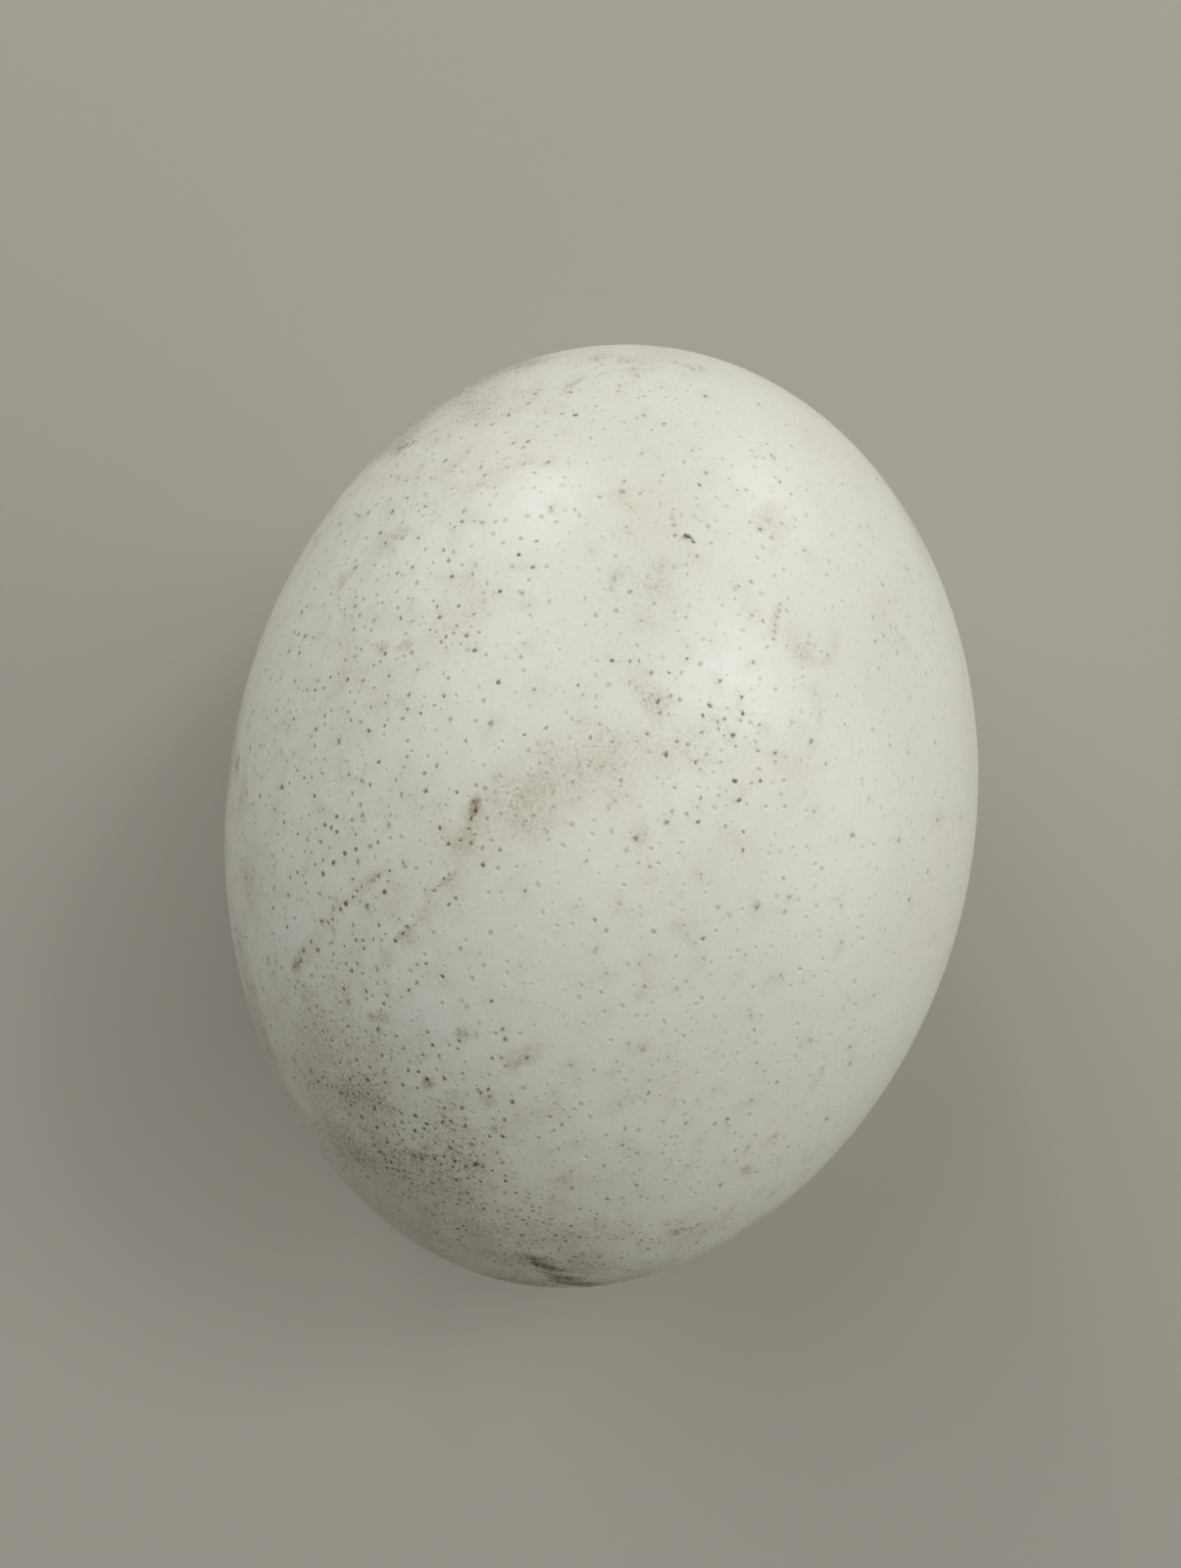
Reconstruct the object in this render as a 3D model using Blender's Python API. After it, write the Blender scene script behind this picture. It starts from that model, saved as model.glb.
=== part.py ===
"""Ostrich egg lying on its side: a single shell, thick with pores, on a small flat resting spot.

Metres, +Z up. The long axis runs along Y, with the blunt end towards +Y and the small end towards -Y.
The resting spot lies in the plane z = 0, and its middle is under the egg's centre of mass.
"""

import math
import random

import bmesh
import bpy
from mathutils import Matrix, Vector

NAME = "ostrich_egg"

# Size and outline of the shell
LENGTH = 0.159
BREADTH = 0.125
BLUNT_SWELL = 0.017  # how much fuller the half towards the blunt end is, as a share of the breadth
END_TAPER = -0.018  # how much slimmer both ends are than the ends of an ellipse
TIP_SKEW = 0.013  # what the blunt end gains and the small end loses close to the tips
SIDE_BOW = 0.00045  # both tips stand this much to the -X side of the waist
BLUNT_END_RISE = math.radians(1.0)  # the egg finds its balance with the blunt end this much higher

# Resting spot
FLAT_DEPTH = 0.00045
FLAT_CORNERS = 24
FLAT_MARGIN = 0.0035  # plain shell kept between the resting spot and the nearest surface point
FLAT_SEARCH = math.radians(25.0)  # the spot's rim lies well within this angle from straight down
FLAT_TOLERANCE = 1e-6

# Pores
SURFACE_POINTS = 2000  # corners of the shell's facets, a part of them opened as pores
SHAKE = 0.16  # how far a surface point strays from its even place, as a share of the spacing
PORE_SHARE = 0.235
PORE_RADIUS = 0.00075  # of the widest pore
PORE_NARROWEST = 0.6  # of that radius
PORE_DEPTH = 0.00016  # of the shallowest pore
PORE_DEEPEST = 0.00034
PORELESS_FOOT = 0.02  # no pore opens this close to the middle of the resting spot
SEED = 23

# Eggshell: warm ivory with a soft sheen
SHELL_COLOUR = (0.745, 0.730, 0.640, 1.0)
SHELL_ROUGHNESS = 0.42
SHELL_METALLIC = 0.0

HALF_LENGTH = LENGTH / 2
HALF_BREADTH = BREADTH / 2
SOLVE_STEPS = 12
HALVINGS = 40
GOLDEN_TURN = math.pi * (3.0 - math.sqrt(5.0))
DOWN = Vector((0.0, 0.0, -1.0))
LYING = Matrix.Rotation(BLUNT_END_RISE, 3, "X")


def shell_point(direction):
    """Where the shell's surface lies along a unit direction from its middle, long axis exactly on Y."""
    across = math.hypot(direction.x, direction.z)
    latitude = direction.y
    for _ in range(SOLVE_STEPS):
        fullness = 1.0 + BLUNT_SWELL * latitude + END_TAPER * latitude**2 + TIP_SKEW * latitude**3
        distance = 1.0 / math.hypot(across / (HALF_BREADTH * fullness), direction.y / HALF_LENGTH)
        latitude = distance * direction.y / HALF_LENGTH
    return direction * distance


def lying_point(direction):
    """The same for the egg as it lies, its middle still at the origin."""
    return LYING @ shell_point(LYING.transposed() @ direction)


FLAT_LEVEL = lying_point(DOWN).z + FLAT_DEPTH  # height of the resting spot seen from the middle


def flat_rim():
    """Corners of the resting spot: where the surface passes through its plane, all the way round."""
    corners = []
    for index in range(FLAT_CORNERS):
        turn = math.tau * index / FLAT_CORNERS
        sideways = Vector((math.cos(turn), math.sin(turn), 0.0))
        inside = 0.0
        outside = FLAT_SEARCH
        for _ in range(HALVINGS):
            lean = (inside + outside) / 2
            corner = lying_point(DOWN * math.cos(lean) + sideways * math.sin(lean))
            if corner.z < FLAT_LEVEL:
                inside = lean
            else:
                outside = lean
        corner.z = FLAT_LEVEL
        corners.append(corner)
    return corners


def surface_points(rim, rng):
    """Points spread evenly in a golden spiral and then shaken, clear of the resting spot."""
    spacing = math.sqrt(4.0 * math.pi / SURFACE_POINTS)
    points = []
    for index in range(SURFACE_POINTS):
        latitude = 1.0 - (2.0 * index + 1.0) / SURFACE_POINTS
        turn = GOLDEN_TURN * index
        ring = math.sqrt(1.0 - latitude**2)
        even = Vector((ring * math.cos(turn), latitude, ring * math.sin(turn)))
        stray = Vector((rng.uniform(-1.0, 1.0), rng.uniform(-1.0, 1.0), rng.uniform(-1.0, 1.0)))
        point = lying_point((even + stray * SHAKE * spacing).normalized())
        gap = min((point - corner).length for corner in rim)
        if point.z > FLAT_LEVEL and gap > FLAT_MARGIN:
            points.append(point)
    return points


def closed_shell(rim, points):
    """The faceted shell through all the points, with the resting spot as one face within its rim."""
    bm = bmesh.new()
    for point in rim + points:
        bm.verts.new(point)
    bmesh.ops.convex_hull(bm, input=bm.verts[:])
    foot = []
    for face in bm.faces:
        if all(vert.co.z < FLAT_LEVEL + FLAT_TOLERANCE for vert in face.verts):
            foot.append(face)
    bmesh.ops.dissolve_faces(bm, faces=foot)
    return bm


def open_pores(bm, rng):
    """Cuts a small ring around each chosen corner, draws it onto the shell and sinks its middle."""
    foot = Vector((0.0, 0.0, FLAT_LEVEL))
    free = [vert for vert in bm.verts if (vert.co - foot).length > PORELESS_FOOT]
    chosen = [vert for vert in free if rng.random() < PORE_SHARE]
    rings = bmesh.ops.bevel(
        bm,
        geom=chosen,
        offset=PORE_RADIUS,
        offset_type="OFFSET",
        segments=1,
        profile=0.5,
        affect="VERTICES",
        clamp_overlap=True,
        material=-1,
    )["faces"]
    for ring in rings:
        middle = ring.calc_center_median()
        size = rng.uniform(PORE_NARROWEST, 1.0)
        for vert in ring.verts:
            vert.co = lying_point((middle + (vert.co - middle) * size).normalized())
    middles = bmesh.ops.poke(bm, faces=rings)["verts"]
    for vert in middles:
        direction = vert.co.normalized()
        vert.co = lying_point(direction) - direction * rng.uniform(PORE_DEPTH, PORE_DEEPEST)


def bow_sideways(bm):
    """Moves the tips a hair to -X and leaves the waist where it is."""
    for vert in bm.verts:
        latitude = vert.co.y / HALF_LENGTH
        vert.co.x -= SIDE_BOW * latitude**2


def eggshell_material():
    """Ivory eggshell."""
    material = bpy.data.materials.new("eggshell")
    material.use_nodes = True
    principled = material.node_tree.nodes["Principled BSDF"]
    principled.inputs["Base Color"].default_value = SHELL_COLOUR
    principled.inputs["Roughness"].default_value = SHELL_ROUGHNESS
    principled.inputs["Metallic"].default_value = SHELL_METALLIC
    return material


def build_egg():
    """The egg as one object, modelled around its middle and set down on z = 0."""
    rng = random.Random(SEED)
    rim = flat_rim()
    bm = closed_shell(rim, surface_points(rim, rng))
    open_pores(bm, rng)
    bow_sideways(bm)
    sides = [face for face in bm.faces if len(face.verts) < FLAT_CORNERS]
    bmesh.ops.triangulate(bm, faces=sides)
    bmesh.ops.recalc_face_normals(bm, faces=bm.faces[:])
    mesh = bpy.data.meshes.new(NAME)
    bm.to_mesh(mesh)
    bm.free()
    mesh.shade_smooth()
    mesh.materials.append(eggshell_material())
    egg = bpy.data.objects.new(NAME, mesh)
    egg.location.z = -FLAT_LEVEL
    bpy.context.scene.collection.objects.link(egg)


for leftover in list(bpy.data.objects):
    bpy.data.objects.remove(leftover, do_unlink=True)
build_egg()
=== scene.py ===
"""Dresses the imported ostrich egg: a pored, soiled ivory shell on a plain pale floor under soft light.

The egg lies on its side with its long axis along Y and the blunt end towards +Y. Places on the shell are
given as millimetres along that axis from the middle (towards the blunt end) and degrees around it from
the top (towards +X). Lengths are in millimetres unless a name or a comment says otherwise.
"""

import logging
import math
import random
from collections.abc import Mapping, Sequence
from dataclasses import dataclass
from enum import Enum
from itertools import product
from typing import Any

import bmesh
import bpy
import numpy as np
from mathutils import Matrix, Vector, kdtree


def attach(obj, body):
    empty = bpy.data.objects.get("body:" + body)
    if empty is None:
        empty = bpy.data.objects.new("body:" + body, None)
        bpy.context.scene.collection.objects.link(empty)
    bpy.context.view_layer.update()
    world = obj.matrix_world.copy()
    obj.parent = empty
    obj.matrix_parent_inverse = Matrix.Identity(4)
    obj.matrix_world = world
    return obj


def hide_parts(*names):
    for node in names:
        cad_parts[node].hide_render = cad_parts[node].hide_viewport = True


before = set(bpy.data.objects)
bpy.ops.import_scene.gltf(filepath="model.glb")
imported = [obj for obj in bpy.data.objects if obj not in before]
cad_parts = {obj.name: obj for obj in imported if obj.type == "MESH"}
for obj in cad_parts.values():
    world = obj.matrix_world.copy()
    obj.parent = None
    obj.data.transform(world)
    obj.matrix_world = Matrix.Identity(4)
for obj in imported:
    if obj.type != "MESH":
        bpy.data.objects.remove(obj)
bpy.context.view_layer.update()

LOG = logging.getLogger("ostrich_egg")
MM = 0.001
SAME = 1e-6  # metres, within which two places count as one
GOLDEN_TURN = math.pi * (3.0 - math.sqrt(5.0))

Socket = bpy.types.NodeSocket
Span = tuple[float, float]  # the lowest and the highest
UNIT = (0.0, 1.0)
EASED = {"interpolation_type": "SMOOTHSTEP"}
OVER = {"data_type": "RGBA", "clamp_factor": True}  # a mix that lays colour 7 over colour 6 by factor 0


class Soil(Enum):
    """What a mark on the shell is made of; some marks are painted shade or painted highlight instead."""

    WORN_AND_HIGHLIGHT = "worn_and_highlight"  # no soil: the cuticle is rubbed off and the chalky shell shows; also painted highlight, a whiter shell where highlights fall
    TAN = "tan_and_shade"  # a thin dry wash of earth, rubbed into the cuticle; also painted shade over the ends, the rims and the lower sides
    RUSSET = "russet"  # small rusty stains
    GRIME_AND_SHADE = "grime_and_shade"  # grey-brown dirt that sits on the shell and in its pores; also painted shade along the rims and over the small end


WORN_AND_HIGHLIGHT, TAN, RUSSET, GRIME_AND_SHADE = Soil


@dataclass(frozen=True)
class Patch:
    """An oval lying on the shell."""

    name: str
    along: float
    around: float
    length: float
    width: float
    turn: float  # degrees from the axis towards +X to its long side


@dataclass(frozen=True)
class Mark(Patch):
    """One smudge, streak or speck on the shell, or a patch of painted shade or painted highlight."""

    strength: float  # 0 to 1
    soil: Soil = TAN


@dataclass(frozen=True)
class SoiledReach(Patch):
    """A wide part of the shell whose pores hold more, or less, dirt than the rest."""

    darker: float  # added to the darkness of its pores


@dataclass(frozen=True)
class DotCluster(Patch):
    """Small dark dots strewn over a patch or along a scratch."""

    count: int
    darkness: Span


@dataclass(frozen=True)
class Trail:
    """Small dark dots one behind the other, where dirt has caught in a scratch."""

    name: str
    places: tuple[tuple[float, float], ...]  # along and around
    gap: float  # between dots
    stray: float  # of a dot to either side
    darkness: Span


@dataclass(frozen=True)
class NamedPore:
    """A pore big or dark enough to be listed one by one."""

    along: float
    around: float
    radius: float
    darkness: float


@dataclass
class Pore:
    """One pore of the shell."""

    centre: Vector  # metres
    radius: float  # metres
    depth: float  # metres
    darkness: float
    is_open: bool  # an open pore has a rounded lip, a fine one is a plain prick
    stain: float  # of the earth washed out around it


# Each row is along, around, radius, darkness
NAMED_PORES = tuple(NamedPore(*row) for row in (
    # Along and around the two dotted scratches
    (-12.4, -19.7, 0.5, 0.9), (-16.8, -17.3, 0.46, 0.85), (-20.4, -29, 0.54, 0.95),
    (-25.4, -24.3, 0.5, 0.95), (-27.4, -30.4, 0.52, 0.95), (-28.3, -32.7, 0.46, 0.7),
    (-27.7, -25.6, 0.44, 0.75), (-29.5, -25.1, 0.48, 0.8), (-32.7, -27.6, 0.5, 0.8),
    (-33.3, -23.8, 0.54, 0.75), (-27, -18.8, 0.44, 0.75), (-25.8, -15.2, 0.42, 0.95),
    (-35.7, -30, 0.5, 0.8), (-38.2, -31.7, 0.54, 0.9), (-38, -27.5, 0.52, 0.9), (-33.8, -36.2, 0.52, 0.85),
    (-37.2, -38.2, 0.46, 0.7), (-33.3, -17.9, 0.46, 0.8), (-34.6, -15.6, 0.4, 0.9),
    (-17.6, -34.5, 0.52, 0.95), (-16.5, -32.5, 0.5, 0.9), (-13.9, -36.8, 0.48, 0.85),
    (-14.8, -28.7, 0.5, 0.7), (-22.8, -36.1, 0.46, 0.75), (-17.5, -42.9, 0.5, 0.85),
    (-24.8, -41.4, 0.48, 0.85), (-19.9, -35.1, 0.48, 0.7), (-31.3, -42.8, 0.52, 0.8),
    (-17, -24.2, 0.52, 0.5), (-36.6, -8.6, 0.44, 0.8), (-30.2, -35, 0.5, 0.75), (-30.2, -34.1, 0.52, 1),
    # Upper left
    (16.4, -21.8, 0.48, 0.95), (12.2, -19.8, 0.48, 0.8), (10.4, -27.7, 0.5, 0.85), (10.5, -22, 0.46, 0.75),
    (12.7, -31.2, 0.44, 0.75), (8.8, -31.8, 0.46, 0.8), (6.1, -16.4, 0.5, 0.85), (7.8, -20.5, 0.42, 0.8),
    (2.3, -37.1, 0.52, 0.9), (1.8, -33.9, 0.46, 0.9), (1.6, -31.2, 0.46, 0.8), (5.8, -30.1, 0.4, 0.9),
    (3.7, -30, 0.42, 0.75), (-2.6, -21.8, 0.54, 1), (-2, -29.2, 0.46, 0.9), (-5.2, -28.9, 0.5, 0.95),
    (-4.5, -26.6, 0.38, 0.85), (-2.7, -32.7, 0.42, 0.8), (-3.8, -32, 0.42, 0.8), (-0.2, -19.1, 0.42, 0.8),
    (-9.2, -26.7, 0.5, 0.8), (-10.5, -40.8, 0.48, 0.9), (0.8, -41.5, 0.46, 0.8), (-8.3, -22.8, 0.42, 0.75),
    (2.2, -12.7, 0.48, 0.85), (14.5, -14.9, 0.46, 0.85), (20.1, -13.7, 0.5, 0.95), (18.3, -11.5, 0.48, 0.9),
    (20.3, -22.7, 0.42, 0.8), (25.1, -23, 0.46, 0.85), (22.8, -33.3, 0.5, 1), (22.5, -34.5, 0.44, 0.9),
    (45.1, -12.3, 0.54, 1), (50.4, -15, 0.34, 0.9), (28.8, -31.8, 0.4, 0.75),
    # Middle and upper right
    (-1.7, 5.1, 0.44, 0.75), (8.8, 8.4, 0.34, 0.95), (-2, 8.6, 0.42, 0.8), (6.1, 4.5, 0.42, 0.75),
    (7.1, 1.9, 0.42, 0.75), (6.8, -0.1, 0.5, 0.75), (1.9, -1.2, 0.46, 0.6), (-4.6, 19.2, 0.44, 0.9),
    (-4.1, 11.1, 0.42, 0.8), (-12.1, 9, 0.52, 0.6), (-10.6, 9.4, 0.48, 0.55), (-14.6, 5.8, 0.52, 0.6),
    (5.3, 15.5, 0.44, 0.8), (3.3, 15.8, 0.48, 0.9), (0.6, 13.2, 0.44, 0.8), (0.2, 15, 0.5, 0.85),
    (1.9, 11.1, 0.4, 0.85), (-0.2, 11.3, 0.4, 0.8), (6.8, 12.6, 0.48, 0.8), (2.5, 5.8, 0.54, 1),
    (3.3, 11.8, 0.52, 1), (-3.8, 7.6, 0.56, 0.95), (-5.4, 16.1, 0.56, 0.95), (-7.6, 17, 0.5, 0.95),
    (-8.4, 12.4, 0.5, 0.85), (-11.3, 12.6, 0.52, 0.85), (-11.2, 15.9, 0.42, 0.65), (3.3, 8.2, 0.48, 0.7),
    (-1, 18.3, 0.42, 0.7), (30.1, -5.2, 0.44, 0.75), (26.2, 6.6, 0.58, 1), (25.4, 7.5, 0.46, 0.95),
    (29.8, 16.3, 0.4, 0.8),
    # Towards the small end
    (-43.3, -17.1, 0.44, 0.9), (-42.2, -13, 0.46, 0.85), (-41, -6.4, 0.5, 0.85), (-43.6, -8, 0.46, 0.8),
    (-47.3, -15.4, 0.54, 0.85), (-42.8, -3.1, 0.4, 0.8), (-53.4, -5.7, 0.5, 0.95), (-50.6, -12.6, 0.5, 0.9),
    (-52.7, -14.6, 0.5, 0.85), (-56.1, -25.6, 0.48, 0.9), (-54.9, -26.1, 0.48, 0.8),
    (-57.5, -28.9, 0.4, 0.95), (-59.5, -4.9, 0.48, 0.95), (-60.2, -9.8, 0.52, 0.9),
    (-61.9, -20.6, 0.56, 0.9), (-64.9, -30.6, 0.5, 0.85), (-50.5, 3.4, 0.46, 0.7), (-64.1, -6.3, 0.48, 0.8),
    (-64.3, 0.5, 0.5, 0.8), (-48, 22.3, 0.44, 0.7), (-53.7, 26.6, 0.34, 0.7), (-58.9, 7.6, 0.48, 0.75),
))

TRAILS = tuple(Trail(*row) for row in (
    ("long_trail", ((-21.4, -21.8), (-24, -26.2), (-24.8, -27.7), (-27.6, -30.6)), 1, 0.3, (0.7, 1)),
    ("long_trail_end", ((-27.6, -30.6), (-30.2, -34.1), (-34.3, -39.1), (-36.6, -42.2)), 1.2, 0.6, (0.65, 1)),
    ("thin_trail", ((-18.4, -11.7), (-21.9, -15.3), (-25, -17.6)), 0.92, 0.1, (0.6, 0.95)),
    ("thin_trail_end", ((-25, -17.6), (-28.9, -19.9), (-31.2, -22.7), (-33.1, -23.9)), 1.1, 0.3, (0.6, 1)),
    ("knot_trail", ((-12.8, -13.2), (-15.6, -13.8), (-18.6, -12.6)), 0.95, 0.5, (0.6, 1)),
    ("tick_trail", ((19.5, 19.3), (16.5, 19), (13.5, 18.6)), 1.1, 0.15, (0.35, 0.75)),
    ("tip_trail", ((-70.6, 1), (-72, 6), (-73.8, 15), (-75.2, 28)), 0.95, 0.9, (0.75, 1)),
    ("tip_trail_beside", ((-71.4, 3), (-73, 9), (-74.6, 20)), 0.95, 0.7, (0.75, 1)),
    ("far_trail", ((14, 118), (22, 126), (31, 131)), 1.2, 0.5, (0.4, 0.85)),
))

# Each row is name, along, around, length, width, turn, count, darkness
CLUSTERS = tuple(DotCluster(*row) for row in (
    ("streak_fan", -31, -30, 22, 18, 45, 44, (0.4, 0.9)),
    ("streak_fan_low", -40, -27, 22, 16, 90, 40, (0.38, 0.9)),
    ("rub_knot", -17.5, -14, 7, 6, 10, 10, (0.5, 0.95)),
    ("rub_flecks", -8.5, -3, 26, 8, 61, 46, (0.26, 0.44)),
    ("rub_right_end", -2, 15, 14, 18, 80, 26, (0.4, 0.8)),
    ("cloud_head", -51.5, -33, 9, 13, 20, 60, (0.4, 1)),
    ("cloud", -53.5, -25, 13, 14, 0, 56, (0.4, 1)),
    ("cloud_streak", -58.3, -22, 3.6, 13, 0, 44, (0.8, 1)),
    ("cloud_right", -53.5, -14, 15, 15, 0, 56, (0.36, 0.95)),
    ("cloud_wash", -58.5, -11.5, 7, 9, 0, 26, (0.4, 0.95)),
    ("cloud_low", -62.5, -24, 9, 28, 0, 90, (0.4, 1)),
    ("cloud_left", -57, -42, 16, 16, 0, 56, (0.36, 0.9)),
    ("above_cloud", -43.5, -34, 10, 28, 0, 54, (0.4, 0.9)),
    ("end_dots", -67, -6, 9, 26, 0, 70, (0.45, 1)),
    ("end_dots_right", -65, 15, 12, 34, 0, 56, (0.45, 0.95)),
    ("tip_dots", -71, 8, 6, 44, 0, 60, (0.5, 1)),
    ("upper_left_dots", 10, -29, 30, 24, 0, 36, (0.45, 0.8)),
    ("left_dots", -12, -42, 38, 26, 0, 60, (0.4, 0.85)),
    ("left_rim_dots", -22, -58, 50, 18, 0, 40, (0.45, 0.85)),
    ("shoulder_dots", 46, -38, 18, 30, 0, 50, (0.45, 0.85)),
    ("blunt_end_dots", 58, -12, 12, 26, 0, 26, (0.35, 0.7)),
    ("lower_right_dots", -65, 34, 5, 12, 0, 14, (0.5, 0.9)),
    ("lower_strew", -52, 18, 22, 60, 0, 60, (0.26, 0.55)),
    ("far_side_dots", 20, 128, 26, 16, 20, 26, (0.4, 0.85)),
    ("underside_dots", -30, -150, 24, 20, 60, 30, (0.4, 0.85)),
    ("lower_middle_strew", -34, 12, 34, 56, 0, 60, (0.28, 0.45)),
))

# Each row is name, along, around, length, width, turn, darker
REACHES = tuple(SoiledReach(*row) for row in (
    ("rubbed_cluster", 0, 14, 26, 26, 0, 0.08),
    ("left_flank", 0, -39, 100, 44, 0, 0.22),
    ("lower_left_flank", -56, -30, 38, 46, 0, 0.34),
    ("small_end", -76, 8, 60, 24, 90, 0.18),
    ("clean_right_side", 0, 50, 130, 70, 0, -0.09),
    ("clean_blunt_end", 60, 22, 40, 60, 0, -0.06),
    ("lower_middle", -30, 14, 44, 60, 0, -0.03),
    ("underside", 0, 180, 120, 90, 0, 0.2),
    ("far_side_patch", 24, 128, 48, 36, 20, 0.14),
    ("left_foot", -14, -118, 60, 30, 0, 0.12),
))
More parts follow.
